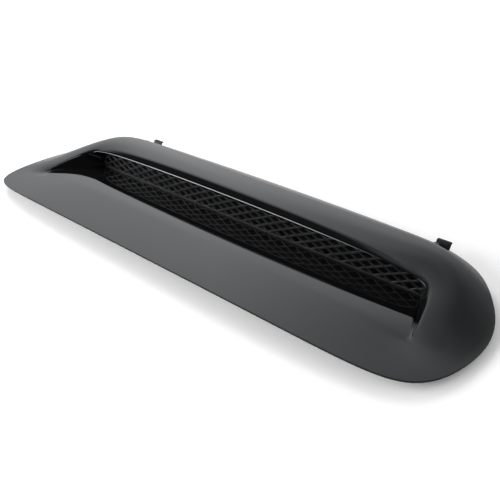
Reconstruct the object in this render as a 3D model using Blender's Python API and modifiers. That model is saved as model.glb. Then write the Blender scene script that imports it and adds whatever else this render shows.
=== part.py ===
# Bonnet air vent: one moulded cover shell with a front mouth, a diamond grille and its dark backing
# tray behind the mouth, four fixing studs, two rear hook clips, and screws for grille and clips.
# X is across the vehicle, -Y points to the vehicle's front, +Z is up. Metres.
import math
import bpy
import bmesh
from mathutils import Matrix, Vector
from mathutils.bvhtree import BVHTree

MM = 0.001

# Driving sizes
WIDTH = 850 * MM              # tip to tip across the shell
FORM_WIDTH = 850 * MM         # width at which the stations below are drawn; WIDTH stretches them
WALL = 2.5 * MM               # moulded wall
LIP_THICKEN = 0.17            # wall gained behind the lip for each unit of its band
GAP = 0.3 * MM                # clearance between neighbouring pieces
TIP_DROP = 18 * MM            # how far the tips droop below the middle of the rim
DUCT_END_Y = 191 * MM         # rear edge of the duct, where the grille stands
DUCT_FLOOR_Z = -22.6 * MM     # duct floor at its rear edge
RAMP_CREST_Y = 82 * MM        # where the ramp starts to roll down into the duct
RAMP_ROLL = 1.7               # how late the ramp rolls down: 1 is a straight slope
FOOT_DIP = 5.0 * MM           # dip of the ramp beside the foot of each cheek
FOOT_SPREAD = 60 * MM         # reach of that dip to either side
BROW_CREASE = 0.42            # sharpness of the edge where the hood turns down into the mouth
STUD_TIP_Z = -27 * MM         # lowest level of the vent, the ends of the studs

# Grille
CELL_W = 26.16 * MM
CELL_H = 12.5 * MM
BAR_W = 2.8 * MM              # width of a lattice bar
GRILLE_T = 3.0 * MM
GRILLE_BASE_Z = -20.9 * MM    # lowest row of lattice joints
GRILLE_BORDER = 2.3 * MM      # frame seen inside the duct edge
GRILLE_FLANGE = 3.8 * MM      # frame lapping behind the duct wall
BACKING_DEPTH = 8.0 * MM      # tray that closes the back of the grille
BACKING_WALL = 1.5 * MM
BACKING_LAP = 1.0 * MM        # tray wall outside the duct edge

# Fixings
STUD_R = 3.0 * MM
STUD_BOSS_R = 8.0 * MM
BOSS_SINK = 0.7 * MM          # skin left over the top of a boss
STUD_FRONT_IN = 125 * MM      # front studs, in from the tips and back from the front edge
STUD_FRONT_Y = 42 * MM
STUD_REAR_IN = 193 * MM       # rear studs, in from the tips and behind the duct end
STUD_REAR_BACK = 31 * MM
FRONT_BOSS_Z = -13 * MM       # foot of the front stud bosses, below the ramp
REAR_BOSS_Z = -2.0 * MM       # foot of the rear stud bosses
STUD_HOLE = 7.0 * MM          # depth of the stud in its boss
SCREW_R = 1.4 * MM
SCREW_HEAD_R = 3.0 * MM
SCREW_HEAD_H = 2.0 * MM
SCREW_BITE = 5.5 * MM         # length of a grille screw in its boss
BOSS_R = 3.5 * MM
TOP_SCREWS_X = (60 * MM, 200 * MM)      # screws above the duct ceiling
SCREW_ABOVE = 6.8 * MM        # their height over the ceiling
SIDE_SCREW_Z = -9 * MM        # one screw outside each cheek
SCREW_BESIDE = 7.8 * MM       # its distance from the cheek
BOSS_LEN = 7.5 * MM
EAR_R = 4.6 * MM

# Rear clips
CLIP_IN = 131.5 * MM          # middle of each clip, in from the tip
CLIP_W = 18.0 * MM
CLIP_T = 1.5 * MM
CLIP_FLAT = 32.5 * MM         # flat part under the rim
CLIP_BEHIND = 1.3 * MM        # bend behind the rear rim
CLIP_RISE = 8.7 * MM
CLIP_RUN = 4.0 * MM
CLIP_HOOK = 4.5 * MM
CLIP_SCREW_IN = 24.5 * MM     # screw in front of the bend
CLIP_BOSS_R = 5.0 * MM
CLIP_BELOW = 0.3 * MM         # foot of the clip bosses below the wall of the rim beside them
CLIP_SCREW_BITE = 7.0 * MM

# Stations round one half of the shell, in mm, from the middle of the hood round to the foot of the
# cheek: lip edge (x, y, z), crown of the brow (x, y, z), duct end (x, z), rim (x, y).
HOOD_STATIONS = (
    ((0, 174, 22.8), (0, 184, 31.6), (0, 15.6), (0, 297.6)),
    ((95, 174, 22.3), (95, 184, 31.2), (95, 15.6), (98, 296.6)),
    ((185, 174, 20.6), (185, 184, 28.8), (185, 14.6), (190, 294.8)),
    ((250, 174.3, 18.6), (250, 184.3, 25.3), (248, 12.6), (256, 293.2)),
    ((290, 174.8, 15.6), (290, 185, 21), (284, 10), (304, 289.8)),
    ((311, 174.8, 12.6), (311, 185, 17), (304, 6), (341, 280.5)),
    ((325.6, 174.4, 9.6), (327, 180, 13.2), (315, 0), (371, 260.5)),
    ((336.2, 167.6, 5.9), (338.5, 170.5, 9.2), (320, -6), (397, 226)),
    ((345.1, 149.6, 2.4), (347, 150.5, 4.6), (322, -11), (416.5, 191)),
    ((351.4, 126.4, -2.4), (353, 127, -0.8), (322.5, -15.5), (426, 152)),
    ((356, 105.7, -7.4), (357.5, 106, -6.2), (322, -19.5), (424.5, 112)),
    ((358.3, 92.7, -11.7), (359.5, 92.5, -11), (320.5, -21.8), (420.5, 88)),
)
# Stations across the ramp, in mm, from the foot of the cheek to the middle: ramp (x), duct end (x),
# rim (x, y).
RAMP_STATIONS = (
    (358, 319, (415, 65)),
    (345, 306, (402, 38.5)),
    (318, 282, (379, 18)),
    (275, 244, (335, 6)),
    (200, 180, (257, 0.8)),
    (100, 92, (126, 0)),
    (0, 0, (0, 0)),
)
# Rows from the brow to the rim: share of the way out, and share of the height kept, over the middle
# of the hood, over its shoulders and over the ends.
ROWS_OUT = ((0.14, 1.05, 1.20, 0.99), (0.34, 1.06, 1.34, 0.88), (0.56, 0.82, 1.24, 0.62),
            (0.78, 0.42, 0.70, 0.30), (0.92, 0.13, 0.28, 0.08), (1.0, 0.0, 0.0, 0.0))
SHOULDER = (0, 0.06, 0.25, 0.56, 1, 1, 0.75, 0.45, 0.2, 0, 0, 0)      # of each hood station
RAMP_ROWS_Y = (150, 118, 96, 88)      # mm, duct floor and ramp rows in front of the duct end
LIP_ROW, BROW_ROW = 3, 5              # rows of the lip edge and of the brow above it


def across(x):
    """Place across the vent of a drawn x in mm."""
    return x * MM * WIDTH / FORM_WIDTH


def on_line(points, at):
    """Value at a place along a line drawn through points with rising first members."""
    for (low, first), (high, second) in zip(points, points[1:]):
        if low <= at <= high:
            return first + (second - first) * (at - low) / (high - low)
    raise ValueError("the place lies outside the drawn line")


def rim_height(x):
    """Height of the bonnet that the rim follows: level in the middle, drooping to the tips."""
    s = abs(x) / (WIDTH / 2)
    return -TIP_DROP * (1.35 * s ** 4 - 0.35 * s ** 2)


def ramp_height(x, y):
    """Ramp: on the bonnet line at the front, rolling down to the duct floor at the back."""
    s = max(0.0, (y - RAMP_CREST_Y) / (DUCT_END_Y - RAMP_CREST_Y))
    base = rim_height(x)
    beside_foot = abs(abs(x) - across(RAMP_STATIONS[0][0])) / FOOT_SPREAD
    dip = FOOT_DIP * max(0.0, 1 - beside_foot) * min(1.0, y / RAMP_CREST_Y)
    return base + (DUCT_FLOOR_Z - base) * s ** RAMP_ROLL - dip * max(0.0, 1 - s)


def clip_place():
    """Middle of the right clip and the Y of its bend, just behind the rear rim."""
    rear_rim = [(across(rim[0]), rim[1] * MM) for _, _, _, rim in HOOD_STATIONS[:10]]
    x = WIDTH / 2 - CLIP_IN
    return x, on_line(rear_rim, x - CLIP_W / 2) + CLIP_BEHIND


def clip_boss_foot():
    """Level of the clip bosses' feet, below the rim beside them."""
    return rim_height(clip_place()[0] + CLIP_W / 2) - WALL - CLIP_BELOW


def material(name, color, roughness, metallic=0.0, coat=0.0):
    mat = bpy.data.materials.new(name)
    mat.use_nodes = True
    node = mat.node_tree.nodes["Principled BSDF"]
    node.inputs["Base Color"].default_value = (*color, 1)
    node.inputs["Roughness"].default_value = roughness
    node.inputs["Metallic"].default_value = metallic
    node.inputs["Coat Weight"].default_value = coat
    mat.diffuse_color = (*color, 1)
    return mat


def add_object(name, mesh, mat, coll):
    obj = bpy.data.objects.new(name, mesh)
    obj.data.materials.clear()
    obj.data.materials.append(mat)
    coll.objects.link(obj)
    return obj


def apply_modifiers(obj):
    mesh = bpy.data.meshes.new_from_object(obj.evaluated_get(bpy.context.evaluated_depsgraph_get()))
    obj.modifiers.clear()
    old = obj.data
    obj.data = mesh
    bpy.data.meshes.remove(old)


def cylinder(name, radius, low, high, segments, coll, mat=None):
    """Closed cylinder between two points."""
    axis = Vector(high) - Vector(low)
    bm = bmesh.new()
    bmesh.ops.create_cone(bm, cap_ends=True, segments=segments, radius1=radius, radius2=radius,
                          depth=axis.length)
    turn = Vector((0, 0, 1)).rotation_difference(axis).to_matrix().to_4x4()
    bm.transform(Matrix.Translation((Vector(low) + Vector(high)) / 2) @ turn)
    mesh = bpy.data.meshes.new(name)
    bm.to_mesh(mesh)
    bm.free()
    obj = bpy.data.objects.new(name, mesh)
    coll.objects.link(obj)
    if mat:
        mesh.materials.append(mat)
    return obj


def join(name, objs, coll):
    """One object from several separate closed bodies."""
    bm = bmesh.new()
    for obj in objs:
        bm.from_mesh(obj.data)
        bpy.data.objects.remove(obj)
    mesh = bpy.data.meshes.new(name)
    bm.to_mesh(mesh)
    bm.free()
    obj = bpy.data.objects.new(name, mesh)
    coll.objects.link(obj)
    return obj


def boolean(obj, other, operation):
    mod = obj.modifiers.new(operation.lower(), "BOOLEAN")
    mod.object = other
    mod.operation = operation
    mod.solver = "EXACT"
    apply_modifiers(obj)
    other.hide_render = True
    other.display_type = "WIRE"


def smooth(obj, angle):
    obj.data.shade_smooth()
    obj.data.set_sharp_from_angle(angle=math.radians(angle))


# Cover shell

def shell_stations():
    """Outer skin as stations of points, each from the duct end, over the lip, out to the rim."""
    stations = []
    count = len(HOOD_STATIONS)
    for number, (lip, brow, duct, rim) in enumerate(HOOD_STATIONS):
        lip = Vector((across(lip[0]), lip[1] * MM, lip[2] * MM))
        brow = Vector((across(brow[0]), brow[1] * MM, brow[2] * MM))
        end = Vector((across(duct[0]), DUCT_END_Y, duct[1] * MM))
        rim = Vector((across(rim[0]), rim[1] * MM, rim_height(across(rim[0]))))
        inner = lip + (end - lip).normalized() * 3 * MM
        middle = lip.lerp(end, 0.55)
        points = [end, middle, inner, lip, lip.lerp(brow, 0.28), brow]
        for out, middle_keep, shoulder_keep, end_keep in ROWS_OUT:
            point = brow.lerp(rim, out)
            plain_keep = middle_keep if number < 5 else end_keep
            keep = plain_keep + (shoulder_keep - plain_keep) * SHOULDER[number]
            point.z = rim.z + (brow.z - rim.z) * keep
            points.append(point)
        stations.append(points)
    for ramp_x, duct_x, rim in RAMP_STATIONS:
        end = Vector((across(duct_x), DUCT_END_Y))
        crest = Vector((across(ramp_x), RAMP_CREST_Y))
        rim = Vector((across(rim[0]), rim[1] * MM))
        places = [end]
        places += [crest.lerp(end, (y * MM - RAMP_CREST_Y) / (DUCT_END_Y - RAMP_CREST_Y))
                   for y in RAMP_ROWS_Y]
        places.append(crest)
        places += [crest.lerp(rim, row[0]) for row in ROWS_OUT]
        stations.append([Vector((p.x, p.y, ramp_height(p.x, p.y))) for p in places])
    return stations, count


def build_shell(mat, coll):
    stations, foot = shell_stations()
    bm = bmesh.new()
    outer = [[bm.verts.new(p) for p in points] for points in stations]
    rows = len(outer[0])
    for left, right in zip(outer, outer[1:]):
        for row in range(rows - 1):
            bm.faces.new((left[row], right[row], right[row + 1], left[row + 1]))
    bm.normal_update()

    # inner skin: the outer skin set back by the wall, one row behind the lip instead of three
    inner_rows = [row for row in range(rows) if row not in (2, 4)]
    inner = []
    for number, column in enumerate(outer):
        points = []
        for row in inner_rows:
            normal = column[row].normal.copy()
            depth = WALL
            if row == LIP_ROW and number < foot:
                depth += (column[BROW_ROW].co - column[LIP_ROW].co).length * LIP_THICKEN
            if number in (0, len(outer) - 1):
                normal.x = 0
                normal.normalize()
            if row == 0:
                normal.y = 0
                normal.normalize()
            if row == rows - 1:
                normal = Vector((0, 0, 1))
            points.append(bm.verts.new(column[row].co - normal * depth))
        inner.append(points)
    for left, right in zip(inner, inner[1:]):
        for row in range(len(inner_rows) - 1):
            bm.faces.new((left[row], left[row + 1], right[row + 1], right[row]))
    for left, right, low, high in zip(outer, outer[1:], inner, inner[1:]):
        bm.faces.new((left[-1], right[-1], high[-1], low[-1]))
        bm.faces.new((left[0], low[0], high[0], right[0]))

    # crisp rim and duct end, a small radius on the brow, the sharp valley between ramp and cheek
    crease = bm.edges.layers.float.new("crease_edge")
    for skin in (outer, inner):
        for left, right in zip(skin, skin[1:]):
            bm.edges.get((left[0], right[0]))[crease] = 1
            bm.edges.get((left[-1], right[-1]))[crease] = 1
    for number, (left, right) in enumerate(zip(outer[:foot], outer[1:])):
        edge = bm.edges.get((left[BROW_ROW], right[BROW_ROW]))
        edge[crease] = BROW_CREASE * min(1.0, (foot - number) / 5)
    for row in range(4):
        bm.edges.get((outer[foot][row], outer[foot][row + 1]))[crease] = 1 if row < 3 else 0.5
    mesh = bpy.data.meshes.new("cover_shell")
    bm.to_mesh(mesh)
    bm.free()
    shell = add_object("cover_shell", mesh, mat, coll)
    mirror = shell.modifiers.new("mirror", "MIRROR")
    mirror.merge_threshold = 0.0001
    soft = shell.modifiers.new("soft", "SUBSURF")
    soft.levels = soft.render_levels = 1
    apply_modifiers(shell)
    return shell


def under_skin(tree, x, y, radius):
    """Height inside the wall at which a round boss is closed by the skin all round."""
    heights = []
    for step in range(8):
        angle = step * math.pi / 4
        start = Vector((x + radius * math.cos(angle), y + radius * math.sin(angle), WIDTH))
        heights.append(tree.ray_cast(start, Vector((0, 0, -1)))[0].z)
    return min(heights) - BOSS_SINK


def screw_places():
    """Grille screws on the duct end: four above the ceiling, one outside each cheek."""
    ceiling = [(across(duct[0]), duct[1] * MM) for _, _, duct, _ in HOOD_STATIONS[:7]]
    cheek = [(duct[1] * MM, across(duct[0])) for _, _, duct, _ in reversed(HOOD_STATIONS)]
    places = [(x, on_line(ceiling, x) + SCREW_ABOVE) for x in TOP_SCREWS_X]
    places.append((on_line(cheek, SIDE_SCREW_Z) + SCREW_BESIDE, SIDE_SCREW_Z))
    for x, z in places:
        for side in (-1, 1):
            yield Vector((side * x, DUCT_END_Y, z))


def build_bosses(shell, coll):
    """Moulded bosses for the studs, the clip screws and the grille screws, with their holes."""
    tree = BVHTree.FromObject(shell, bpy.context.evaluated_depsgraph_get())
    bosses, holes = [], []
    clip_x, bend = clip_place()
    foot, y = clip_boss_foot(), bend - CLIP_SCREW_IN
    for x in (-clip_x, clip_x):
        top = under_skin(tree, x, y, CLIP_BOSS_R)
        bosses.append(cylinder("boss", CLIP_BOSS_R, (x, y, foot), (x, y, top), 20, coll))
        holes.append(cylinder("hole", SCREW_R + GAP, (x, y, foot - MM),
                              (x, y, foot + CLIP_SCREW_BITE + GAP), 16, coll))
    for x, y, low in stud_places():
        top = under_skin(tree, x, y, STUD_BOSS_R)
        bosses.append(cylinder("boss", STUD_BOSS_R, (x, y, low), (x, y, top), 24, coll))
        holes.append(cylinder("hole", STUD_R + GAP, (x, y, low - MM),
                              (x, y, low + STUD_HOLE + GAP), 20, coll))
    for place in screw_places():
        front = place - Vector((0, BOSS_LEN, 0))
        bosses.append(cylinder("boss", BOSS_R, front, place, 16, coll))
        holes.append(cylinder("hole", SCREW_R + GAP, place - Vector((0, SCREW_BITE + GAP, 0)),
                              place + Vector((0, MM, 0)), 12, coll))
    bosses = join("shell_bosses", bosses, coll)
    holes = join("shell_holes", holes, coll)
    boolean(shell, bosses, "UNION")
    boolean(shell, holes, "DIFFERENCE")
    bpy.data.objects.remove(bosses)
    bpy.data.objects.remove(holes)


def stud_places():
    """Foot of each stud boss: x, y, z."""
    for side in (-1, 1):
        yield side * (WIDTH / 2 - STUD_FRONT_IN), STUD_FRONT_Y, FRONT_BOSS_Z
        yield side * (WIDTH / 2 - STUD_REAR_IN), DUCT_END_Y + STUD_REAR_BACK, REAR_BOSS_Z


# Grille

def duct_loop(grow):
    """Outline of the duct end, grown outwards, as points in the X-Z plane."""
    half = [Vector((across(x), z * MM)) for _, _, (x, z), _ in HOOD_STATIONS]
    half.append(Vector((across(RAMP_STATIONS[0][1]), DUCT_FLOOR_Z)))
    half.append(Vector((0, DUCT_FLOOR_Z)))
    points = half + [Vector((-p.x, p.y)) for p in reversed(half[1:-1])]
    grown = []
    for i, point in enumerate(points):
        before, after = points[i - 1], points[(i + 1) % len(points)]
        first, second = (point - before).normalized(), (after - point).normalized()
        out = Vector((-first.y, first.x)) + Vector((-second.y, second.x))
        out = out.normalized()
        grown.append(point + out * grow / max(0.5, out.dot(Vector((-first.y, first.x)))))
    return grown


def prism(name, outline, low_y, high_y, coll):
    """Flat outline in the X-Z plane carried through a depth."""
    bm = bmesh.new()
    face = bm.faces.new([bm.verts.new((p.x, low_y, p.y)) for p in outline])
    far = bmesh.ops.extrude_face_region(bm, geom=[face])["geom"]
    bmesh.ops.translate(bm, verts=[v for v in far if isinstance(v, bmesh.types.BMVert)],
                        vec=(0, high_y - low_y, 0))
    bmesh.ops.recalc_face_normals(bm, faces=bm.faces)
    mesh = bpy.data.meshes.new(name)
    bm.to_mesh(mesh)
    bm.free()
    obj = bpy.data.objects.new(name, mesh)
    coll.objects.link(obj)
    return obj


def build_grille(mat, coll):
    front, back = DUCT_END_Y + GAP, DUCT_END_Y + GAP + GRILLE_T
    grille = prism("grille_panel", duct_loop(GRILLE_FLANGE), front, back, coll)
    grille.data.materials.append(mat)
    ears = [cylinder("ear", EAR_R, (p.x, front, p.z), (p.x, back, p.z), 20, coll)
            for p in screw_places()]
    ears = join("grille_ears", ears, coll)
    boolean(grille, ears, "UNION")
    bpy.data.objects.remove(ears)

    # lattice openings: rows of diamonds, kept inside the frame, cut out of the panel
    slope = math.atan2(CELL_H, CELL_W)
    half_w = CELL_W / 2 - BAR_W / 2 / math.sin(slope)
    half_h = CELL_H / 2 - BAR_W / 2 / math.cos(slope)
    window_points = duct_loop(-GRILLE_BORDER)
    columns = math.ceil(max(p.x for p in window_points) / CELL_W)
    rows = math.ceil((max(p.y for p in window_points) - GRILLE_BASE_Z) / (CELL_H / 2))
    bm = bmesh.new()
    for row in range(-1, rows + 1):
        for number in range(-columns - 1, columns + 1):
            x = (number + 0.5 * (row % 2)) * CELL_W
            z = GRILLE_BASE_Z + row * CELL_H / 2
            diamond = bmesh.ops.create_cone(bm, cap_ends=True, segments=4, radius1=1, radius2=1,
                                            depth=3 * GRILLE_T)["verts"]
            bmesh.ops.rotate(bm, verts=diamond, matrix=Matrix.Rotation(math.pi / 2, 3, "X"))
            bmesh.ops.scale(bm, verts=diamond, vec=(half_w, 1, half_h))
            bmesh.ops.translate(bm, verts=diamond, vec=(x, (front + back) / 2, z))
    mesh = bpy.data.meshes.new("diamonds")
    bm.to_mesh(mesh)
    bm.free()
    diamonds = bpy.data.objects.new("diamonds", mesh)
    coll.objects.link(diamonds)
    window = prism("window", window_points, front - 2 * MM, back + 2 * MM, coll)
    boolean(diamonds, window, "INTERSECT")
    boolean(grille, diamonds, "DIFFERENCE")
    holes = [cylinder("hole", SCREW_R + GAP, (p.x, front - MM, p.z), (p.x, back + MM, p.z), 12, coll)
             for p in screw_places()]
    holes = join("grille_holes", holes, coll)
    boolean(grille, holes, "DIFFERENCE")
    for tool in (diamonds, window, holes):
        bpy.data.objects.remove(tool)
    return grille


def build_backing(mat, coll):
    """Tray bonded to the back of the grille frame, open to the front."""
    front = DUCT_END_Y + 2 * GAP + GRILLE_T
    back = front + BACKING_DEPTH
    tray = prism("grille_backing", duct_loop(BACKING_LAP), front, back, coll)
    tray.data.materials.append(mat)
    pocket = prism("pocket", duct_loop(BACKING_LAP - BACKING_WALL), front - MM, back - BACKING_WALL,
                   coll)
    boolean(tray, pocket, "DIFFERENCE")
    bpy.data.objects.remove(pocket)


# Fixings

def build_studs(mat, coll):
    for x, y, low in stud_places():
        name = f"stud_{'front' if y < DUCT_END_Y else 'rear'}_{'left' if x < 0 else 'right'}"
        stud = cylinder(name, STUD_R, (x, y, STUD_TIP_Z), (x, y, low + STUD_HOLE), 20, coll, mat)
        bevel_ends(stud, 0.7 * MM, {STUD_TIP_Z})


def bevel_ends(obj, width, levels):
    """Chamfer the round edges of a turned piece at the given heights."""
    bm = bmesh.new()
    bm.from_mesh(obj.data)
    edges = [e for e in bm.edges
             if all(min(abs(v.co.z - level) for level in levels) < 1e-6 for v in e.verts)]
    bmesh.ops.bevel(bm, geom=edges, offset=width, segments=1, affect="EDGES")
    bm.to_mesh(obj.data)
    bm.free()


def screw(name, head_face, axis, bite, mat, coll):
    """Pan screw: shank into its boss, round head against the held piece."""
    axis = Vector(axis)
    shank = cylinder(name, SCREW_R, head_face - axis * 0.5 * MM, head_face + axis * bite, 12, coll)
    head = cylinder("head", SCREW_HEAD_R, head_face - axis * SCREW_HEAD_H, head_face, 20, coll)
    boolean(shank, head, "UNION")
    bpy.data.objects.remove(head)
    slot = cylinder("recess", SCREW_R * 0.8, head_face - axis * (SCREW_HEAD_H + MM),
                    head_face - axis * 0.6 * SCREW_HEAD_H, 6, coll)
    boolean(shank, slot, "DIFFERENCE")
    bpy.data.objects.remove(slot)
    shank.data.materials.clear()
    shank.data.materials.append(mat)
    return shank


def build_screws(mat, coll):
    for number, place in enumerate(sorted(screw_places(), key=lambda p: p.x), 1):
        face = place + Vector((0, 2 * GAP + GRILLE_T, 0))
        screw(f"grille_screw_{number}", face, (0, -1, 0), SCREW_BITE + 2 * GAP + GRILLE_T - GAP, mat,
              coll)
    clip_x, bend = clip_place()
    for side, word in ((-1, "left"), (1, "right")):
        face = Vector((side * clip_x, bend - CLIP_SCREW_IN, clip_boss_foot() - 2 * GAP - CLIP_T))
        screw(f"clip_screw_{word}", face, (0, 0, 1), CLIP_SCREW_BITE + 2 * GAP + CLIP_T - GAP, mat,
              coll)


def build_clip(side, word, mat, coll):
    """Rear clip: flat strip under the rim, bent up behind it and back over at the end."""
    clip_x, bend = clip_place()
    top = clip_boss_foot() - GAP
    line = [Vector((bend - CLIP_FLAT, top)), Vector((bend, top)),
            Vector((bend + CLIP_RUN, top + CLIP_RISE)),
            Vector((bend + CLIP_RUN + CLIP_HOOK, top + CLIP_RISE + 0.8 * MM))]
    bm = bmesh.new()
    left, right = side * clip_x - CLIP_W / 2, side * clip_x + CLIP_W / 2
    rows = [[bm.verts.new((x, p.x, p.y)) for x in (left, right)] for p in line]
    for a, b in zip(rows, rows[1:]):
        bm.faces.new((a[0], a[1], b[1], b[0]))
    mesh = bpy.data.meshes.new(f"rear_clip_{word}")
    bm.to_mesh(mesh)
    bm.free()
    clip = add_object(f"rear_clip_{word}", mesh, mat, coll)
    solid = clip.modifiers.new("thickness", "SOLIDIFY")
    solid.thickness = CLIP_T
    solid.offset = -1
    solid.use_even_offset = True
    bevel = clip.modifiers.new("bends", "BEVEL")
    bevel.width = 0.9 * MM
    bevel.segments = 2
    bevel.limit_method = "ANGLE"
    bevel.angle_limit = math.radians(20)
    apply_modifiers(clip)
    hole = cylinder("hole", SCREW_R + GAP, (side * clip_x, bend - CLIP_SCREW_IN, top - CLIP_T - MM),
                    (side * clip_x, bend - CLIP_SCREW_IN, top + MM), 16, coll)
    boolean(clip, hole, "DIFFERENCE")
    bpy.data.objects.remove(hole)


def main():
    for obj in list(bpy.data.objects):
        bpy.data.objects.remove(obj)
    coll = bpy.data.collections.new("bonnet_vent")
    bpy.context.scene.collection.children.link(coll)

    gloss = material("gloss_black_abs", (0.012, 0.012, 0.013), 0.08, coat=0.5)
    satin = material("black_abs_grille", (0.02, 0.02, 0.021), 0.42)
    zinc = material("zinc_steel", (0.62, 0.63, 0.64), 0.35, metallic=1.0)
    dark = material("black_steel", (0.03, 0.03, 0.032), 0.5, metallic=0.6)

    shell = build_shell(gloss, coll)
    build_bosses(shell, coll)
    build_grille(satin, coll)
    build_backing(satin, coll)
    build_studs(zinc, coll)
    build_screws(dark, coll)
    for side, word in ((-1, "left"), (1, "right")):
        build_clip(side, word, dark, coll)
    middle = (clip_place()[1] + CLIP_RUN + CLIP_HOOK) / 2
    for obj in coll.objects:
        smooth(obj, 35)
        obj.location = (0, -middle, -STUD_TIP_Z)


main()
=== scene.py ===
# Bonnet air vent on a white studio floor: gloss black moulded cover, diamond grille behind the mouth,
# threaded studs, rear clips and their screws. Metres; -Y is the vent's front, +Z is up.
import math
import bpy
from mathutils import Matrix, Vector


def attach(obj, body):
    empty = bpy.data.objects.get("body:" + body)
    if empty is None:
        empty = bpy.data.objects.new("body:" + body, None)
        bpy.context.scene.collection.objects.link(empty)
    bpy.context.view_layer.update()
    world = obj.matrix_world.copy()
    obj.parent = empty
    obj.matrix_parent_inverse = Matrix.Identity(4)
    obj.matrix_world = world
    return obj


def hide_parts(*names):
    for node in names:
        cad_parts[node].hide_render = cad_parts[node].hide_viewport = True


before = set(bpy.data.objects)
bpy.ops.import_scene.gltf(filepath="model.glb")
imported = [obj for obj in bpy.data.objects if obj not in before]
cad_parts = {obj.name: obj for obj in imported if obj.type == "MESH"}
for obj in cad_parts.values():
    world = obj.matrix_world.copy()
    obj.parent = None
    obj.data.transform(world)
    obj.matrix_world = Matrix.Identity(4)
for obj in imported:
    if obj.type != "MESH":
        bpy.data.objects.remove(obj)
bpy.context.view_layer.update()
bpy.ops.object.select_all(action="DESELECT")

# Camera: high and to the right of the front edge, at the photograph's angle and field of view.
AZIMUTH, PITCH = math.radians(41.274), math.radians(30.1535)
camera = bpy.data.objects.new("camera", bpy.data.cameras.new("camera"))
bpy.context.scene.collection.objects.link(camera)
camera.data.lens = 46.08
camera.data.sensor_width = 36
camera.location = (0.5987, -0.60609, 0.4615)
camera.rotation_euler = (math.pi / 2 - PITCH, 0, AZIMUTH)
bpy.context.scene.camera = camera
bpy.context.scene.view_settings.view_transform = "Standard"


# Cover shell: the outer form of the vent, one injection moulding in gloss black ABS. The ramp runs
# back and down into the mouth, the lip folds over it into the hood, and cheeks close the two ends.
MM = 0.001
FRONT_Y, RIM_Z = -150.49 * MM, 27 * MM      # front edge and rim plane, as the CAD has them
HALF_WIDTH, TIP_DROP, WALL = 425 * MM, 18 * MM, 2.5 * MM
DUCT_END_Y, DUCT_FLOOR_Z, RAMP_CREST_Y = 191 * MM, -22.6 * MM, 82 * MM
CHEEK_FOOT_X, FOOT_DIP, DIP_REACH = 358 * MM, 5 * MM, 60 * MM
FOLD_ROW, LIP_ROW, BEAD_ROW, BROW_ROW = 2, 3, 4, 5
LIP_FOLD, LIP_FILL = 3 * MM, 0.17           # the fold behind the lip, and the wall added inside it
BEAD_UP, BEAD_OUT = 0.3, 0.16               # the bead, as shares of the way from lip to brow
BROW_CREASE, MIDDLE_STATIONS = 0.42, 5
# Hood stations, in mm, from the middle to the foot of the cheek: lip (x, y, z), brow (x, y, z),
# duct end (x, z), rim (x, y), share of the shoulder form.
HOOD = (
    ((0, 174, 22.8), (0, 184, 31.6), (0, 15.6), (0, 297.6), 0),
    ((95, 174, 22.3), (95, 184, 31.2), (95, 15.6), (98, 296.6), 0.06),
    ((185, 174, 20.6), (185, 184, 28.8), (185, 14.6), (190, 294.8), 0.25),
    ((250, 174.3, 18.6), (250, 184.3, 25.3), (248, 12.6), (256, 293.2), 0.56),
    ((290, 174.8, 15.6), (290, 185, 21), (284, 10), (304, 289.8), 1),
    ((311, 174.8, 12.6), (311, 185, 17), (304, 6), (341, 280.5), 1),
    ((325.6, 174.4, 9.6), (327, 180, 13.2), (315, 0), (371, 260.5), 0.75),
    ((336.2, 167.6, 5.9), (338.5, 170.5, 9.2), (320, -6), (397, 226), 0.45),
    ((345.1, 149.6, 2.4), (347, 150.5, 4.6), (322, -11), (416.5, 191), 0.2),
    ((351.4, 126.4, -2.4), (353, 127, -0.8), (322.5, -15.5), (426, 152), 0),
    ((356, 105.7, -7.4), (357.5, 106, -6.2), (322, -19.5), (424.5, 112), 0),
    ((358.3, 92.7, -11.7), (359.5, 92.5, -11), (320.5, -21.8), (420.5, 88), 0),
)
# Ramp stations, in mm, from the foot of the cheek to the middle: ramp x, duct end x, rim (x, y).
RAMP = ((358, 319, (415, 65)), (345, 306, (402, 38.5)), (318, 282, (379, 18)), (275, 244, (335, 6)),
        (200, 180, (257, 0.8)), (100, 92, (126, 0)), (0, 0, (0, 0)))
RAMP_ROWS = (150, 118, 96, 88, 82)          # y of the rows between the duct end and the crest, in mm
# Share of the way from brow to rim, and of the height kept over the middle, shoulders and ends.
ROWS_OUT = ((0.14, 1.05, 1.20, 0.99), (0.34, 1.06, 1.34, 0.88), (0.56, 0.82, 1.24, 0.62),
            (0.78, 0.42, 0.70, 0.30), (0.92, 0.13, 0.28, 0.08), (1.0, 0.0, 0.0, 0.0))


def rim_height(x):
    """The rim lies level in the middle and falls away to the two tips."""
    out = abs(x) / HALF_WIDTH
    return -TIP_DROP * (1.35 * out ** 4 - 0.35 * out ** 2)


def ramp_height(x, y):
    """The ramp leaves the rim's height at its crest and ends on the duct's floor."""
    inward = max(0.0, (y - RAMP_CREST_Y) / (DUCT_END_Y - RAMP_CREST_Y))
    base = rim_height(x)
    beside_foot = max(0.0, 1 - abs(abs(x) - CHEEK_FOOT_X) / DIP_REACH)
    dip = FOOT_DIP * beside_foot * min(1.0, y / RAMP_CREST_Y)
    return base + (DUCT_FLOOR_Z - base) * inward ** 1.7 - dip * max(0.0, 1 - inward)


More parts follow.
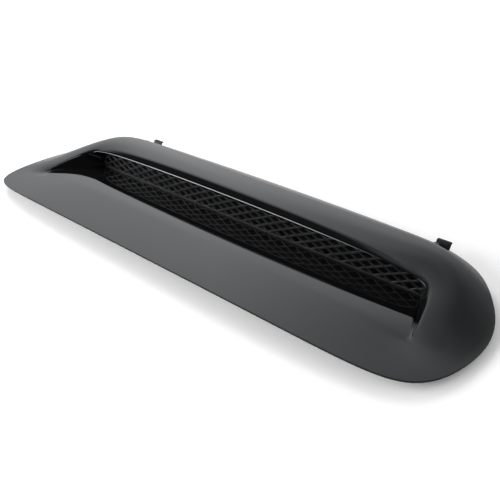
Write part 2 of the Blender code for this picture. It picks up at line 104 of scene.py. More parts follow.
stations = []
for number, (lip, brow, duct, rim, shoulder) in enumerate(HOOD):
    lip, brow = Vector(lip) * MM, Vector(brow) * MM
    end = Vector((duct[0] * MM, DUCT_END_Y, duct[1] * MM))
    rim = Vector((rim[0] * MM, rim[1] * MM, rim_height(rim[0] * MM)))
    bead = lip.lerp(brow, BEAD_UP) + Vector((lip.x - brow.x, lip.y - brow.y, 0)) * BEAD_OUT
    points = [end, lip.lerp(end, 0.55), lip + (end - lip).normalized() * LIP_FOLD, lip, bead, brow]
    for out, middle_keep, shoulder_keep, end_keep in ROWS_OUT:
        point = brow.lerp(rim, out)
        plain_keep = middle_keep if number < MIDDLE_STATIONS else end_keep
        point.z = rim.z + (brow.z - rim.z) * (plain_keep + (shoulder_keep - plain_keep) * shoulder)
        points.append(point)
    stations.append(points)
for ramp_x, duct_x, rim in RAMP:
    end, crest = Vector((duct_x * MM, DUCT_END_Y)), Vector((ramp_x * MM, RAMP_CREST_Y))
    rim = Vector((rim[0] * MM, rim[1] * MM))
    places = [end]
    places += [crest.lerp(end, (y * MM - RAMP_CREST_Y) / (DUCT_END_Y - RAMP_CREST_Y))
               for y in RAMP_ROWS]
    places += [crest.lerp(rim, row[0]) for row in ROWS_OUT]
    stations.append([Vector((p.x, p.y, ramp_height(p.x, p.y))) for p in places])
columns, rows = len(stations), len(stations[0])


def skin_grid(name, grid):
    """A grid primitive whose points are moved to the given places, column by column."""
    across, along = len(grid), len(grid[0])
    bpy.ops.mesh.primitive_grid_add(x_subdivisions=across - 1, y_subdivisions=along - 1, size=1)
    skin = bpy.context.object
    skin.name = name
    for vert in skin.data.vertices:
        column = round((vert.co.x + 0.5) * (across - 1))
        row = round((vert.co.y + 0.5) * (along - 1))
        vert.co = grid[column][row]
    skin.data.update()
    return skin


def spot(point):
    """A point's place to the micrometre, by which it is found again."""
    return tuple(round(c, 6) for c in point)


cover = skin_grid("gloss_cover", stations)
normals = {spot(v.co): v.normal.copy() for v in cover.data.vertices}
inner = []
for column, points in enumerate(stations):
    inside = []
    for row, point in enumerate(points):
        if row in (FOLD_ROW, BEAD_ROW):
            continue
        normal = normals[spot(point)].copy()
        depth = WALL
        if row == LIP_ROW and column < len(HOOD):
            depth += LIP_FILL * (points[BROW_ROW] - point).length
        if column in (0, columns - 1):
            normal.x = 0
        if row == 0:
            normal.y = 0
        if row == rows - 1:
            normal = Vector((0, 0, 1))
        inside.append(point - normal.normalized() * depth)
    inner.append(inside)
lining = skin_grid("lining", inner)


def material(name):
    """A new material with its Principled shader: (material, tree, shader)."""
    made = bpy.data.materials.new(name)
    made.use_nodes = True
    return made, made.node_tree, made.node_tree.nodes["Principled BSDF"]


def feed(tree, socket, given):
    """Sets a socket to a value, or links another node's output to it."""
    if isinstance(given, bpy.types.NodeSocket):
        tree.links.new(given, socket)
    else:
        socket.default_value = given


def computed(tree, operation, *given):
    """Output of a Math node with the given inputs, each a value or another node's output."""
    made = tree.nodes.new("ShaderNodeMath")
    made.operation = operation
    for socket, value in zip(made.inputs, given):
        feed(tree, socket, value)
    return made.outputs[0]


def finish_group(name, inputs, outputs):
    """A shader node group with named sockets: (group, input node, output node, object coordinates)."""
    group = bpy.data.node_groups.new(name, "ShaderNodeTree")
    for socket_name, default in inputs.items():
        kind = "NodeSocketColor" if isinstance(default, tuple) else "NodeSocketFloat"
        socket = group.interface.new_socket(name=socket_name, in_out="INPUT", socket_type=kind)
        socket.default_value = default
    for socket_name in outputs:
        kind = "NodeSocketColor" if socket_name == "Color" else "NodeSocketFloat"
        group.interface.new_socket(name=socket_name, in_out="OUTPUT", socket_type=kind)
    coord = group.nodes.new("ShaderNodeTexCoord")
    return (group, group.nodes.new("NodeGroupInput"), group.nodes.new("NodeGroupOutput"),
            coord.outputs["Object"])


def noise(tree, place, scale, detail):
    """Output of a noise texture at the given place, from 0 to 1."""
    made = tree.nodes.new("ShaderNodeTexNoise")
    for name, given in (("Vector", place), ("Scale", scale), ("Detail", detail)):
        feed(tree, made.inputs[name], given)
    return made.outputs["Fac"]


# Moulded finish, shared by the plastics: grain or ripple height, and a slow drift of the roughness.
moulding, given, result, place = finish_group(
    "moulded_finish", {"Roughness": 0.3, "Drift": 0.05, "Grain Scale": 900.0, "Grain": 0.3},
    ("Roughness", "Height"))
centred = computed(moulding, "SUBTRACT", noise(moulding, place, 14, 3), 0.5)
drift = computed(moulding, "MULTIPLY_ADD", centred, given.outputs["Drift"], given.outputs["Roughness"])
grain = noise(moulding, place, given.outputs["Grain Scale"], 2)
height = computed(moulding, "MULTIPLY", grain, given.outputs["Grain"])
moulding.links.new(drift, result.inputs["Roughness"])
moulding.links.new(height, result.inputs["Height"])


def finished(name, group, values, depth, specular):
    """A material with a finish group and its bump in place: (material, tree, shader, group node)."""
    made, tree, shader = material(name)
    finish = tree.nodes.new("ShaderNodeGroup")
    finish.node_tree = group
    for socket, value in values.items():
        finish.inputs[socket].default_value = value
    bump = tree.nodes.new("ShaderNodeBump")
    bump.inputs["Distance"].default_value = depth
    shader.inputs["Specular IOR Level"].default_value = specular
    tree.links.new(finish.outputs["Roughness"], shader.inputs["Roughness"])
    tree.links.new(finish.outputs["Height"], bump.inputs["Height"])
    tree.links.new(bump.outputs["Normal"], shader.inputs["Normal"])
    return made, tree, shader, finish


def moulded(name, color, roughness, drift, grain_scale, grain, depth, specular=0.5):
    """A moulded plastic: colour, roughness with a slow drift, and a grain of the given depth."""
    values = {"Roughness": roughness, "Drift": drift, "Grain Scale": grain_scale, "Grain": grain}
    made, tree, shader, finish = finished(name, moulding, values, depth, specular)
    shader.inputs["Base Color"].default_value = (*color, 1)
    return made


gloss = moulded("cover_gloss_black", (0.004, 0.004, 0.0042), roughness=0.025, drift=0.02,
                grain_scale=110, grain=0.5, depth=0.02 * MM)
back_face = moulded("abs_back_face", (0.018, 0.018, 0.019), roughness=0.42, drift=0.12,
                    grain_scale=1400, grain=1.0, depth=0.06 * MM)
cover.data.materials.append(gloss)
lining.data.materials.append(back_face)


def edit(obj, kind, test):
    """Edit mode on the object, with the VERT, EDGE or FACE elements that pass the test selected."""
    bpy.ops.object.select_all(action="DESELECT")
    obj.select_set(True)
    bpy.context.view_layer.objects.active = obj
    bpy.ops.object.mode_set(mode="EDIT")
    bpy.ops.mesh.select_mode(type=kind)
    bpy.ops.mesh.select_all(action="DESELECT")
    bpy.ops.object.mode_set(mode="OBJECT")
    elements = {"VERT": obj.data.vertices, "EDGE": obj.data.edges, "FACE": obj.data.polygons}
    for element in elements[kind]:
        element.select = test(element)
    bpy.ops.object.mode_set(mode="EDIT")


def join(pieces):
    """One object of several, named as the first."""
    bpy.ops.object.select_all(action="DESELECT")
    for piece in pieces:
        piece.select_set(True)
    bpy.context.view_layer.objects.active = pieces[0]
    bpy.ops.object.join()
    return pieces[0]


edit(lining, "FACE", lambda face: True)
bpy.ops.mesh.flip_normals()
bpy.ops.object.mode_set(mode="OBJECT")
join([cover, lining])
# the two skins are bridged along the rim and round the duct end
for row in (-1, 0):
    loop = {spot(points[row]) for points in stations + inner}
    edit(cover, "VERT", lambda vert: spot(vert.co) in loop)
    bpy.ops.mesh.select_mode(type="EDGE")
    bpy.ops.mesh.bridge_edge_loops()
    bpy.ops.object.mode_set(mode="OBJECT")

# crisp rim and duct end, a small radius on the brow, the sharp valley between ramp and cheek
crease = cover.data.attributes.new("crease_edge", "FLOAT", "EDGE")
place_of = {spot(p): ("inner", c, r - len(ps)) for c, ps in enumerate(inner) for r, p in enumerate(ps)}
place_of.update({spot(p): ("outer", c, r) for c, ps in enumerate(stations) for r, p in enumerate(ps)})
foot = len(HOOD)
for edge in cover.data.edges:
    (skin, column, row), (other, column_2, row_2) = (place_of[spot(cover.data.vertices[v].co)]
                                                     for v in edge.vertices)
    if skin != other:
        continue
    if row == row_2 and row in (0, rows - 1, -1, -len(inner[0])):
        crease.data[edge.index].value = 1
    elif row == row_2 == BROW_ROW and skin == "outer" and max(column, column_2) <= foot:
        fade = min(1, (foot - min(column, column_2)) / 5)
        crease.data[edge.index].value = BROW_CREASE * fade
    elif column == column_2 == foot and skin == "outer" and max(row, row_2) <= BEAD_ROW:
        crease.data[edge.index].value = 1 if max(row, row_2) < BEAD_ROW else 0.5


def apply_all(obj):
    """Applies the object's modifiers in their order."""
    bpy.context.view_layer.objects.active = obj
    for modifier in list(obj.modifiers):
        bpy.ops.object.modifier_apply(modifier=modifier.name)


mirror = cover.modifiers.new("mirror", "MIRROR")
mirror.merge_threshold = 0.0001
soft = cover.modifiers.new("soft", "SUBSURF")
soft.levels = soft.render_levels = 3
apply_all(cover)


def above(x, y):
    """Height of the cover's outer face over a place, in the vent's own drawing frame."""
    return cover.ray_cast(Vector((x, y, 1)), Vector((0, 0, -1)))[1].z


def between(low, high):
    """Matrix that lays an upright primitive's axis from one point to the other."""
    turn = Vector((0, 0, 1)).rotation_difference(high - low).to_matrix().to_4x4()
    return Matrix.Translation((low + high) / 2) @ turn


# The moulding's round bosses stand under the skin and on the duct end, each with a blind hole.
# A boss is its radius, its hole's radius and its hole's depth.
SCREW_HOLE, BOSS_TAPER, BOSS_ROOT = 1.7 * MM, 1.06, 1.2 * MM
STUD_BOSS = (8 * MM, 3.3 * MM, 7.3 * MM)
CLIP_BOSS = (5 * MM, SCREW_HOLE, 7.3 * MM)
GRILLE_BOSS, GRILLE_BOSS_LENGTH = (3.4 * MM, SCREW_HOLE, 5.8 * MM), 7.5 * MM
STUD_PLACES = ((300, 42, -13), (232, 222, -2))              # x, y and the boss's foot z, in mm
GRILLE_SCREW_PLACES = ((60, 22.4), (200, 20.92), (329, -9))     # x and z, in mm
CLIP_X, CLIP_BEND_Y, CLIP_FOOT_Z = 293.5 * MM, 292.48 * MM, -5.85 * MM
CLIP_SCREW_INSET = 24.5 * MM


def boss(foot_place, root_place, radius, hole_radius, hole_depth):
    """Slightly tapered boss from its open foot to its root in the wall."""
    foot_place, root_place = Vector(foot_place), Vector(root_place)
    bpy.ops.mesh.primitive_cone_add(vertices=32, radius1=radius, radius2=radius * BOSS_TAPER,
                                    depth=(root_place - foot_place).length)
    made = bpy.context.object
    edit(made, "FACE", lambda face: face.normal.z < -0.9)
    bpy.ops.mesh.inset(thickness=radius - hole_radius)
    bpy.ops.mesh.extrude_region_move(TRANSFORM_OT_translate={"value": (0, 0, hole_depth)})
    bpy.ops.object.mode_set(mode="OBJECT")
    made.data.transform(between(foot_place, root_place))
    made.data.materials.append(back_face)
    return made


studs = [(side * x * MM, y * MM, foot_z * MM) for side in (-1, 1) for x, y, foot_z in STUD_PLACES]
grille_screws = [Vector((side * x * MM, DUCT_END_Y, z * MM))
                 for x, z in GRILLE_SCREW_PLACES for side in (-1, 1)]
clip_screws = [Vector((side * CLIP_X, CLIP_BEND_Y - CLIP_SCREW_INSET, CLIP_FOOT_Z)) for side in (-1, 1)]
bosses = [boss((x, y, low), (x, y, above(x, y) - BOSS_ROOT), *STUD_BOSS) for x, y, low in studs]
bosses += [boss(p, (p.x, p.y, above(p.x, p.y) - BOSS_ROOT), *CLIP_BOSS) for p in clip_screws]
bosses += [boss(p, p - Vector((0, GRILLE_BOSS_LENGTH, 0)), *GRILLE_BOSS) for p in grille_screws]
bpy.ops.object.select_all(action="DESELECT")


def place_in_frame(obj):
    """From the drawing frame, front edge and rim at zero, to the CAD frame, and smooth."""
    obj.data.transform(Matrix.Translation((0, FRONT_Y, RIM_Z)))
    bpy.ops.object.select_all(action="DESELECT")
    obj.select_set(True)
    bpy.context.view_layer.objects.active = obj
    bpy.ops.object.shade_smooth_by_angle(angle=math.radians(40))


join([cover] + bosses)
place_in_frame(cover)
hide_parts("cover_shell")
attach(cover, "root")


# Grille: one satin black moulding behind the duct end, a diamond lattice with rounded bars in a plain
# frame, with round lugs for its six screws and a rounded sill along its foot.
CELL_W, CELL_H, BAR_W, GRILLE_T, BAR_ROUND = 26.16 * MM, 12.5 * MM, 2.8 * MM, 3 * MM, 1 * MM
SEAT_GAP, FRAME_OUT, FRAME_IN, LUG_RADIUS = 0.3 * MM, 3.8 * MM, 2.3 * MM, 4.6 * MM
SILL_HALF, SILL_RADIUS = 315 * MM, 1 * MM
LATTICE_FOOT_Z, CELL_ROWS, CELLS_EACH_SIDE = -20.9 * MM, range(-1, 7), 13
GRILLE_FRONT = DUCT_END_Y + SEAT_GAP
GRILLE_BACK = GRILLE_FRONT + GRILLE_T


def duct_loop(grow):
    """Outline of the duct end, grown outwards, as points (x, z)."""
    half = [Vector((duct[0] * MM, duct[1] * MM)) for _, _, duct, _, _ in HOOD]
    half += [Vector((RAMP[0][1] * MM, DUCT_FLOOR_Z)), Vector((0, DUCT_FLOOR_Z))]
    points = half + [Vector((-p.x, p.y)) for p in reversed(half[1:-1])]
    grown = []
    for i, point in enumerate(points):
        first = (point - points[i - 1]).normalized()
        second = (points[(i + 1) % len(points)] - point).normalized()
        out = Vector((-first.y - second.y, first.x + second.x)).normalized()
        grown.append(point + out * grow / max(0.5, out.dot(Vector((-first.y, first.x)))))
    return grown


def panel(name, outline, depths):
    """Flat outline (x, z) carried through the given y levels: a closed stack of equal sections."""
    bpy.ops.mesh.primitive_circle_add(vertices=len(outline), fill_type="NGON")
    made = bpy.context.object
    made.name = name
    for vert, point in zip(made.data.vertices, outline):
        vert.co = (point.x, depths[0], point.y)
    edit(made, "FACE", lambda face: True)
    for low, high in zip(depths, depths[1:]):
        bpy.ops.mesh.extrude_region_move(TRANSFORM_OT_translate={"value": (0, high - low, 0)})
    bpy.ops.mesh.select_all(action="SELECT")
    bpy.ops.mesh.normals_make_consistent(inside=False)
    bpy.ops.object.mode_set(mode="OBJECT")
    return made


def cut(obj, other, operation):
    """Boolean of two objects; the second is used up."""
    modifier = obj.modifiers.new(operation, "BOOLEAN")
    modifier.operation, modifier.solver, modifier.object = operation, "EXACT", other
    apply_all(obj)
    bpy.data.objects.remove(other)


def rod(name, low, high, radius, sides):
    """Plain round rod between two points."""
    low, high = Vector(low), Vector(high)
    bpy.ops.mesh.primitive_cylinder_add(vertices=sides, radius=radius, depth=(high - low).length)
    made = bpy.context.object
    made.name = name
    made.data.transform(between(low, high))
    return made


lattice = panel("grille_lattice", duct_loop(FRAME_OUT), [GRILLE_FRONT, GRILLE_BACK])
for place in grille_screws:
    lug = rod("lug", (place.x, GRILLE_FRONT, place.z), (place.x, GRILLE_BACK, place.z), LUG_RADIUS, 40)
    cut(lattice, lug, "UNION")
# one opening is modelled, waisted so that it leaves bars with rounded edges, and repeated
slope = math.atan2(CELL_H, CELL_W)
half_w = CELL_W / 2 - BAR_W / 2 / math.sin(slope)
half_h = CELL_H / 2 - BAR_W / 2 / math.cos(slope)
reach = half_w * half_h / math.hypot(half_w, half_h)      # from the opening's middle to a bar
levels = {GRILLE_FRONT - MM: BAR_ROUND, GRILLE_BACK + MM: BAR_ROUND}        # y: how much wider there
for angle in (math.radians(degrees) for degrees in (0, 30, 60, 90)):
    inward, wider = BAR_ROUND * (1 - math.sin(angle)), BAR_ROUND * (1 - math.cos(angle))
    levels[GRILLE_FRONT + inward] = levels[GRILLE_BACK - inward] = wider
diamond = [Vector((half_w, 0)), Vector((0, half_h)), Vector((-half_w, 0)), Vector((0, -half_h))]
opening = panel("opening", diamond, sorted(levels))
for vert in opening.data.vertices:
    level = min(levels, key=lambda y: abs(y - vert.co.y))
    size = 1 + levels[level] / reach
    vert.co = (vert.co.x * size, level, vert.co.z * size)
openings = []
for row in CELL_ROWS:
    for number in range(-CELLS_EACH_SIDE, CELLS_EACH_SIDE + 1):
        copy = bpy.data.objects.new("opening", opening.data.copy())
        copy.data.transform(Matrix.Translation(((number + 0.5 * (row % 2)) * CELL_W, 0,
                                                LATTICE_FOOT_Z + row * CELL_H / 2)))
        bpy.context.scene.collection.objects.link(copy)
        openings.append(copy)
bpy.data.objects.remove(opening)
openings = join(openings)
window = panel("window", duct_loop(-FRAME_IN), [GRILLE_FRONT - 2 * MM, GRILLE_BACK + 2 * MM])
cut(openings, window, "INTERSECT")
cut(lattice, openings, "DIFFERENCE")
for place in grille_screws:
    hole = rod("hole", (place.x, GRILLE_FRONT - MM, place.z), (place.x, GRILLE_BACK + MM, place.z),
               SCREW_HOLE, 24)
    cut(lattice, hole, "DIFFERENCE")
sill_y, sill_z = GRILLE_FRONT + SILL_RADIUS / 2, DUCT_FLOOR_Z + 2 * SILL_RADIUS
cut(lattice, rod("sill", (-SILL_HALF, sill_y, sill_z), (SILL_HALF, sill_y, sill_z), SILL_RADIUS, 24),
    "UNION")
place_in_frame(lattice)
grille_black = moulded("grille_satin_black", (0.012, 0.012, 0.0125), roughness=0.42, drift=0.14,
                       grain_scale=1100, grain=1.0, depth=0.05 * MM, specular=0.2)
lattice.data.materials.clear()
lattice.data.materials.append(grille_black)
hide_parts("grille_panel")
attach(lattice, "root")

# Backing tray: the matt black tray bonded to the grille's back keeps its CAD shape. It closes the
# lattice from behind, so that no light comes through. Its near-black colour is painted shade: it stands
# for the dark cavity behind the mouth.
tray_shade_black = moulded("tray_painted_shade_black", (0.002, 0.002, 0.002), roughness=0.7, drift=0.1,
                     grain_scale=900, grain=1.0, depth=0.06 * MM, specular=0.1)
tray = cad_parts["grille_backing"]
for slot in tray.material_slots:
    slot.material = tray_shade_black


# Studs: four zinc plated steel studs with a 6 mm thread, pressed into the bosses, each chamfered at
# its tip. The thread is one helix wound round the core.
STUD_RADIUS, STUD_PITCH, STUD_THREAD, STUD_CHAMFER = 3 * MM, 1 * MM, 0.55 * MM, 0.7 * MM
STUD_TIP_Z, STUD_HOLE, STUD_RING = -27 * MM, 7 * MM, 0.2 * MM


def wound(name, around, along, place):
    """Grid primitive rolled into a closed round bar: place(turn, share) gives each point."""
    bpy.ops.mesh.primitive_grid_add(x_subdivisions=around, y_subdivisions=along, size=1)
    made = bpy.context.object
    made.name = name
    for vert in made.data.vertices:
        vert.co = place(round((vert.co.x + 0.5) * around) / around,
                        round((vert.co.y + 0.5) * along) / along)
    edit(made, "FACE", lambda face: True)
    bpy.ops.mesh.remove_doubles(threshold=0.000002)
    bpy.ops.mesh.select_mode(type="VERT")
    bpy.ops.mesh.select_all(action="DESELECT")
    bpy.ops.mesh.select_non_manifold()
    bpy.ops.mesh.fill_holes(sides=0)
    bpy.ops.mesh.select_all(action="SELECT")
    bpy.ops.mesh.normals_make_consistent(inside=False)
    bpy.ops.object.mode_set(mode="OBJECT")
    return made


def threaded(radius, pitch, depth, length, chamfer):
    """Place function of a threaded bar that hangs down from z = 0."""
    def place(turn, share):
        down = share * length
        phase = (down / pitch + turn) % 1
        core = radius - depth * abs(2 * phase - 1)
        core = min(core, radius - depth - chamfer + (length - down))
        angle = 2 * math.pi * turn
        return Vector((core * math.cos(angle), core * math.sin(angle), -down))
    return place


def ranged(tree, source, start, stop, interpolation="LINEAR", low=0.0, high=1.0):
    """Output of a Map Range node, from start and stop to low and high."""
    made = tree.nodes.new("ShaderNodeMapRange")
    made.interpolation_type = interpolation
    for name, given in (("Value", source), ("From Min", start), ("From Max", stop),
                        ("To Min", low), ("To Max", high)):
        feed(tree, made.inputs[name], given)
    return made.outputs[0]


def mixed(tree, kind, factor, first, second):
    """Output of a Mix node: the first where the factor is 0, the second where it is 1."""
    made = tree.nodes.new("ShaderNodeMix")
    made.data_type = kind
    for name, given in (("Factor", factor), ("A", first), ("B", second)):
        feed(tree, made.inputs[name], given)
    return made.outputs["Result"]


# Plated or coated metal, shared by studs, screws and clips: two mixed tones, roughness, faint pitting.
plating, given, result, place = finish_group(
    "plated_finish",
    {"Tone": (0.6, 0.6, 0.6, 1), "Dull Tone": (0.4, 0.4, 0.4, 1), "Patch Scale": 300.0,
     "Roughness": 0.3, "Dull Roughness": 0.5},
    ("Color", "Roughness", "Height"))
patches = noise(plating, place, given.outputs["Patch Scale"], 5)
spread = ranged(plating, patches, 0.4, 0.65, "SMOOTHSTEP")
for kind, clean, dull, output in (("RGBA", "Tone", "Dull Tone", "Color"),
                                  ("FLOAT", "Roughness", "Dull Roughness", "Roughness")):
    plating.links.new(mixed(plating, kind, spread, given.outputs[clean], given.outputs[dull]),
                      result.inputs[output])
plating.links.new(patches, result.inputs["Height"])


def plated(name, tone, dull_tone, patch_scale, roughness, dull_roughness, metallic, specular=0.5):
    """A plated or coated metal of two mixed tones."""
    values = {"Tone": (*tone, 1), "Dull Tone": (*dull_tone, 1), "Patch Scale": patch_scale,
              "Roughness": roughness, "Dull Roughness": dull_roughness}
    made, tree, shader, finish = finished(name, plating, values, 0.03 * MM, specular)
    shader.inputs["Metallic"].default_value = metallic
    tree.links.new(finish.outputs["Color"], shader.inputs["Base Color"])
    return made


zinc = plated("stud_zinc", (0.66, 0.67, 0.68), (0.48, 0.49, 0.51), patch_scale=420,
              roughness=0.24, dull_roughness=0.42, metallic=1.0)
for x, y, low in studs:
    word = ("front" if y < DUCT_END_Y else "rear") + ("_left" if x < 0 else "_right")
    length = low + STUD_HOLE - STUD_TIP_Z
    stud = wound("threaded_stud_" + word, 32, round(length / STUD_RING),
                 threaded(STUD_RADIUS, STUD_PITCH, STUD_THREAD, length, STUD_CHAMFER))
    stud.data.transform(Matrix.Translation((x, y, low + STUD_HOLE)))
    place_in_frame(stud)
    stud.data.materials.append(zinc)
    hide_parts("stud_" + word)
    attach(stud, "root")


# Screws: black coated pan head screws with a cross recess, six through the grille's lugs and two
# through the clips. One is modelled, head outwards, and copied to its bosses.
HEAD_RADIUS, HEAD_HEIGHT, HEAD_ROUND = 3 * MM, 2 * MM, 1.1 * MM
RECESS, RECESS_Z = (3.2 * MM, 0.75 * MM, 2.2 * MM), 1.9 * MM
SHANK_RADIUS, SHANK_PITCH, SHANK_THREAD, SHANK_TIP = 1.4 * MM, 0.8 * MM, 0.3 * MM, 0.3 * MM
BITE, SHANK_RING, SHANK_INTO_HEAD, CLIP_T = 9 * MM, 0.16 * MM, 0.3 * MM, 1.5 * MM
SCREW_TURN, CLIP_SCREW_TURN = 0.4, 0.7      # how far each recess is turned, in radians
black_steel = plated("coated_steel", (0.010, 0.010, 0.010), (0.020, 0.020, 0.021), patch_scale=600,
                     roughness=0.45, dull_roughness=0.6, metallic=0.0, specular=0.2)


def pan_screw(name):
    """Screw with its head's seat at z = 0, the head above and the threaded shank below."""
    head = rod(name, (0, 0, 0), (0, 0, HEAD_HEIGHT), HEAD_RADIUS, 48)
    edit(head, "FACE", lambda face: face.normal.z > 0.9)
    bpy.ops.mesh.bevel(offset=HEAD_ROUND, segments=6)
    bpy.ops.object.mode_set(mode="OBJECT")
    for turn in (0, math.pi / 2):
        bpy.ops.mesh.primitive_cube_add(size=1)
        slot = bpy.context.object
        slot.data.transform(Matrix.Translation((0, 0, RECESS_Z)) @ Matrix.Rotation(turn, 4, "Z")
                            @ Matrix.Diagonal((*RECESS, 1)))
        cut(head, slot, "DIFFERENCE")
    shank = wound("shank", 20, round(BITE / SHANK_RING),
                  threaded(SHANK_RADIUS, SHANK_PITCH, SHANK_THREAD, BITE, SHANK_TIP))
    shank.data.transform(Matrix.Translation((0, 0, SHANK_INTO_HEAD)))
    made = join([head, shank])
    made.data.materials.clear()
    made.data.materials.append(black_steel)
    return made


def screw_at(pattern, name, seat, turn, node):
    """A copy of a screw at its seat, standing in for one CAD node."""
    made = bpy.data.objects.new(name, pattern.data.copy())
    bpy.context.scene.collection.objects.link(made)
    made.data.transform(Matrix.Translation(seat) @ turn)
    place_in_frame(made)
    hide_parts(node)
    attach(made, "root")


pattern = pan_screw("pattern")
for number, place in enumerate(sorted(grille_screws, key=lambda p: p.x), 1):
    screw_at(pattern, f"pan_screw_{number}", (place.x, GRILLE_BACK + SEAT_GAP, place.z),
             Matrix.Rotation(-math.pi / 2, 4, "X") @ Matrix.Rotation(SCREW_TURN * number, 4, "Z"),
             f"grille_screw_{number}")
for place, word in zip(clip_screws, ("left", "right")):
    screw_at(pattern, f"pan_screw_{word}", (place.x, place.y, CLIP_FOOT_Z - 2 * SEAT_GAP - CLIP_T),
             Matrix.Rotation(math.pi, 4, "X") @ Matrix.Rotation(CLIP_SCREW_TURN, 4, "Z"),
             f"clip_screw_{word}")
bpy.data.objects.remove(pattern)


# Rear clips: bent strips of black coated spring steel, screwed under the rim, that rise behind it and
# hook back over. The strip is drawn flat, bent along its line, thickened and rounded at its bends.
CLIP_HALF_WIDTH, CLIP_FOOT_LENGTH = 11 * MM, 32.5 * MM
CLIP_RISES = ((4 * MM, 8.7 * MM), (4.5 * MM, 0.8 * MM))         # y and z of each bent stretch
CLIP_CORNER, CLIP_BEND, NEAR = 1.6 * MM, 0.9 * MM, 0.001 * MM
bpy.ops.mesh.primitive_plane_add(size=1)
clip = bpy.context.object
clip.name = "pattern"
for vert in clip.data.vertices:
    vert.co = (math.copysign(CLIP_HALF_WIDTH, vert.co.x),
               CLIP_BEND_Y - CLIP_FOOT_LENGTH if vert.co.y < 0 else CLIP_BEND_Y, CLIP_FOOT_Z - SEAT_GAP)
rear = CLIP_BEND_Y
for step_y, step_z in CLIP_RISES:
    edit(clip, "EDGE", lambda edge: all(abs(clip.data.vertices[v].co.y - rear) < NEAR
                                        for v in edge.vertices))
    bpy.ops.mesh.extrude_region_move(TRANSFORM_OT_translate={"value": (0, step_y, step_z)})
    bpy.ops.object.mode_set(mode="OBJECT")
    rear += step_y
# the four corners of the flat strip are rounded
ends = (min(v.co.y for v in clip.data.vertices), max(v.co.y for v in clip.data.vertices))
edit(clip, "VERT", lambda vert: min(abs(vert.co.y - end) for end in ends) < NEAR)
bpy.ops.mesh.bevel(affect="VERTICES", offset=CLIP_CORNER, segments=5)
bpy.ops.mesh.select_all(action="SELECT")
bpy.ops.mesh.normals_make_consistent(inside=False)
bpy.ops.object.mode_set(mode="OBJECT")
if clip.data.polygons[0].normal.z < 0:
    edit(clip, "FACE", lambda face: True)
    bpy.ops.mesh.flip_normals()
    bpy.ops.object.mode_set(mode="OBJECT")
thick = clip.modifiers.new("thickness", "SOLIDIFY")
thick.thickness, thick.offset, thick.use_even_offset = CLIP_T, -1, True
bends = clip.modifiers.new("bends", "BEVEL")
bends.width, bends.segments = CLIP_BEND, 4
bends.limit_method, bends.angle_limit = "ANGLE", math.radians(20)
bends.use_clamp_overlap = True
apply_all(clip)
for place, word in zip(clip_screws, ("left", "right")):
    made = bpy.data.objects.new("spring_clip_" + word, clip.data.copy())
    bpy.context.scene.collection.objects.link(made)
    made.data.transform(Matrix.Translation((place.x, 0, 0)))
    hole = rod("hole", place - Vector((0, 0, 4 * MM)), place + Vector((0, 0, MM)), SCREW_HOLE, 32)
    cut(made, hole, "DIFFERENCE")
    place_in_frame(made)
    made.data.materials.clear()
    made.data.materials.append(black_steel)
    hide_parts("rear_clip_" + word)
    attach(made, "root")
bpy.data.objects.remove(clip)


# Studio floor: white to the camera, where it keeps the lamps' shadow, and grey in what the gloss
# mirrors. Further out, where the lamps no longer reach, it is kept white for the camera alone.
MIRRORED_FLOOR, SEEN_FLOOR = (0.4, 0.4, 0.4, 1), (0.9, 0.9, 0.9, 1)
LIFT_START, LIFT_END, LIFT_NEAR, LIFT_FAR = 0.45, 1.5, 0.13, 0.6
bpy.ops.mesh.primitive_plane_add(size=60, location=(0, 0, 0))
floor = bpy.context.object
floor.name = "floor"
white, tree, paper = material("white_floor")
paper.inputs["Roughness"].default_value = 0.9
paper.inputs["Emission Color"].default_value = (1, 1, 1, 1)
to_camera = tree.nodes.new("ShaderNodeLightPath").outputs["Is Camera Ray"]
coord = tree.nodes.new("ShaderNodeTexCoord")
distance = tree.nodes.new("ShaderNodeVectorMath")
distance.operation = "LENGTH"
tree.links.new(coord.outputs["Object"], distance.inputs[0])
lift = ranged(tree, distance.outputs["Value"], LIFT_START, LIFT_END, low=LIFT_NEAR, high=LIFT_FAR)
tree.links.new(computed(tree, "MULTIPLY", to_camera, lift), paper.inputs["Emission Strength"])
tree.links.new(mixed(tree, "RGBA", to_camera, MIRRORED_FLOOR, SEEN_FLOOR), paper.inputs["Base Color"])
floor.data.materials.append(white)


# Studio room: a world that the gloss mirrors by direction. It is light behind the vent and dark in
# front of it, with two soft windows, and it is an even light for everything else.
# Greys by turn, where 0.5 is straight back and more is to the left, and by height from 0 to 1.
WALL_ROUND = ((0.37, 0), (0.415, 0.11), (0.458, 0.20), (0.5, 0.43), (0.54, 0.6),
              (0.585, 0.78), (0.625, 1), (0.667, 0.84), (0.71, 0.5))
WALL_UP = ((0, 0.55), (0.12, 0.55), (0.3, 0.83), (0.5, 1), (0.65, 0.92),
           (0.8, 0.92), (0.9, 0.7), (0.97, 0.7), (1, 0))
WALL_POWER, WALL_END, WALL_END_LEAN, DARK_SIDE = 1.5, (0.295, 0.465), 0.48, 0.04
# The long low window in front draws the bright line on the lip.
LOW_WINDOW_ROUND = ((0.79, 0), (0.84, 1), (0.915, 1), (0.945, 0))
LOW_WINDOW_UP = ((0.03, 0), (0.15, 1), (0.38, 1), (0.48, 0))
LOW_WINDOW_POWER = 17.0
# The small high one draws that of the left cheek: its direction, and its edge as a cosine.
HIGH_WINDOW, HIGH_WINDOW_EDGE, HIGH_WINDOW_POWER = (0.44, -0.16, 0.88), ((0.98, 0), (0.993, 1)), 8.0
WHITE, COOL, FILL, SEEN_ROOM = (1, 1, 1, 1), (0.97, 1, 1.03, 1), 0.5, 1.0
world = bpy.data.worlds.new("studio")
bpy.context.scene.world = world
world.use_nodes = True
tree = world.node_tree
room = tree.nodes["Background"]


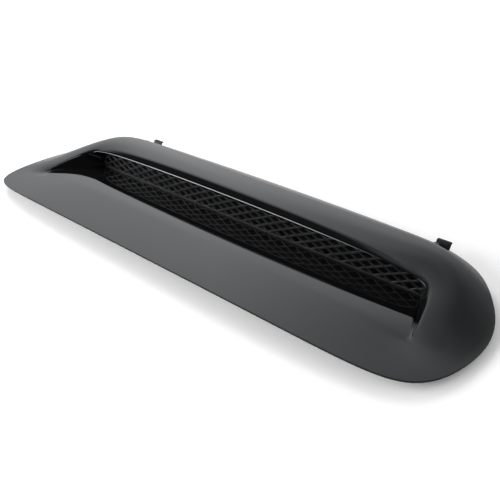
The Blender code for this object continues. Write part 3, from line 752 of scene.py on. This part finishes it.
def toned(source, stops):
    """Output of a grey colour ramp with the given (position, grey) stops."""
    ramp = tree.nodes.new("ShaderNodeValToRGB")
    while len(ramp.color_ramp.elements) < len(stops):
        ramp.color_ramp.elements.new(1)
    for element, (position, grey) in zip(ramp.color_ramp.elements, stops):
        element.position = position
        element.color = (grey, grey, grey, 1)
    tree.links.new(source, ramp.inputs[0])
    return ramp.outputs[0]


direction = tree.nodes.new("ShaderNodeTexCoord").outputs["Generated"]
turned = tree.nodes.new("ShaderNodeMapping")
turned.inputs["Rotation"].default_value = (0, 0, -math.pi / 2)
tree.links.new(direction, turned.inputs["Vector"])
axis = tree.nodes.new("ShaderNodeSeparateXYZ")
tree.links.new(turned.outputs["Vector"], axis.inputs[0])
angle = computed(tree, "ARCTAN2", axis.outputs["Y"], axis.outputs["X"])
turn = ranged(tree, angle, -math.pi, math.pi)
# the light wall ends at the left, further forward high up than low down
forward = computed(tree, "MULTIPLY_ADD", axis.outputs["Z"], WALL_END_LEAN, axis.outputs["X"])
end = computed(tree, "MULTIPLY", ranged(tree, forward, *WALL_END, "SMOOTHSTEP"), WALL_POWER)
wall = computed(tree, "MULTIPLY", toned(turn, WALL_ROUND), toned(axis.outputs["Z"], WALL_UP))
wall = computed(tree, "MULTIPLY", wall, end)
low_window = computed(tree, "MULTIPLY", toned(turn, LOW_WINDOW_ROUND),
                      toned(axis.outputs["Z"], LOW_WINDOW_UP))
low_window = computed(tree, "MULTIPLY", low_window, LOW_WINDOW_POWER)
beside = tree.nodes.new("ShaderNodeVectorMath")
beside.operation = "DOT_PRODUCT"
beside.inputs[1].default_value = HIGH_WINDOW
tree.links.new(direction, beside.inputs[0])
high_window = computed(tree, "MULTIPLY", toned(beside.outputs["Value"], HIGH_WINDOW_EDGE),
                       HIGH_WINDOW_POWER)
mirrored = computed(tree, "ADD", computed(tree, "ADD", wall, DARK_SIDE),
                    computed(tree, "ADD", low_window, high_window))
path = tree.nodes.new("ShaderNodeLightPath")
strength = mixed(tree, "FLOAT", path.outputs["Is Glossy Ray"], FILL, mirrored)
strength = mixed(tree, "FLOAT", path.outputs["Is Camera Ray"], strength, SEEN_ROOM)
tree.links.new(strength, room.inputs["Strength"])
tint = mixed(tree, "RGBA", path.outputs["Is Glossy Ray"], WHITE, COOL)
tree.links.new(tint, room.inputs["Color"])


# Lamps: two soft panels, high behind the left end and low in front of it. They light the floor and cast
# the shadow, and the gloss mirrors the room's windows in their place.
def area_lamp(name, place, aim, size, power):
    """Rectangular lamp aimed at a point, which the gloss doesn't mirror."""
    lamp = bpy.data.objects.new(name, bpy.data.lights.new(name, "AREA"))
    lamp.data.shape = "RECTANGLE"
    lamp.data.size, lamp.data.size_y = size
    lamp.data.energy = power
    lamp.location = place
    lamp.rotation_euler = (Vector(aim) - Vector(place)).to_track_quat("-Z", "Y").to_euler()
    lamp.visible_glossy = False
    bpy.context.scene.collection.objects.link(lamp)


area_lamp("key", (-2.0, 0.9, 1.6), aim=(0, 0, 0), size=(1.4, 1.4), power=45)
area_lamp("low", (-1.3, -2.0, 1.1), aim=(0, 0, 0), size=(2.6, 0.8), power=72)
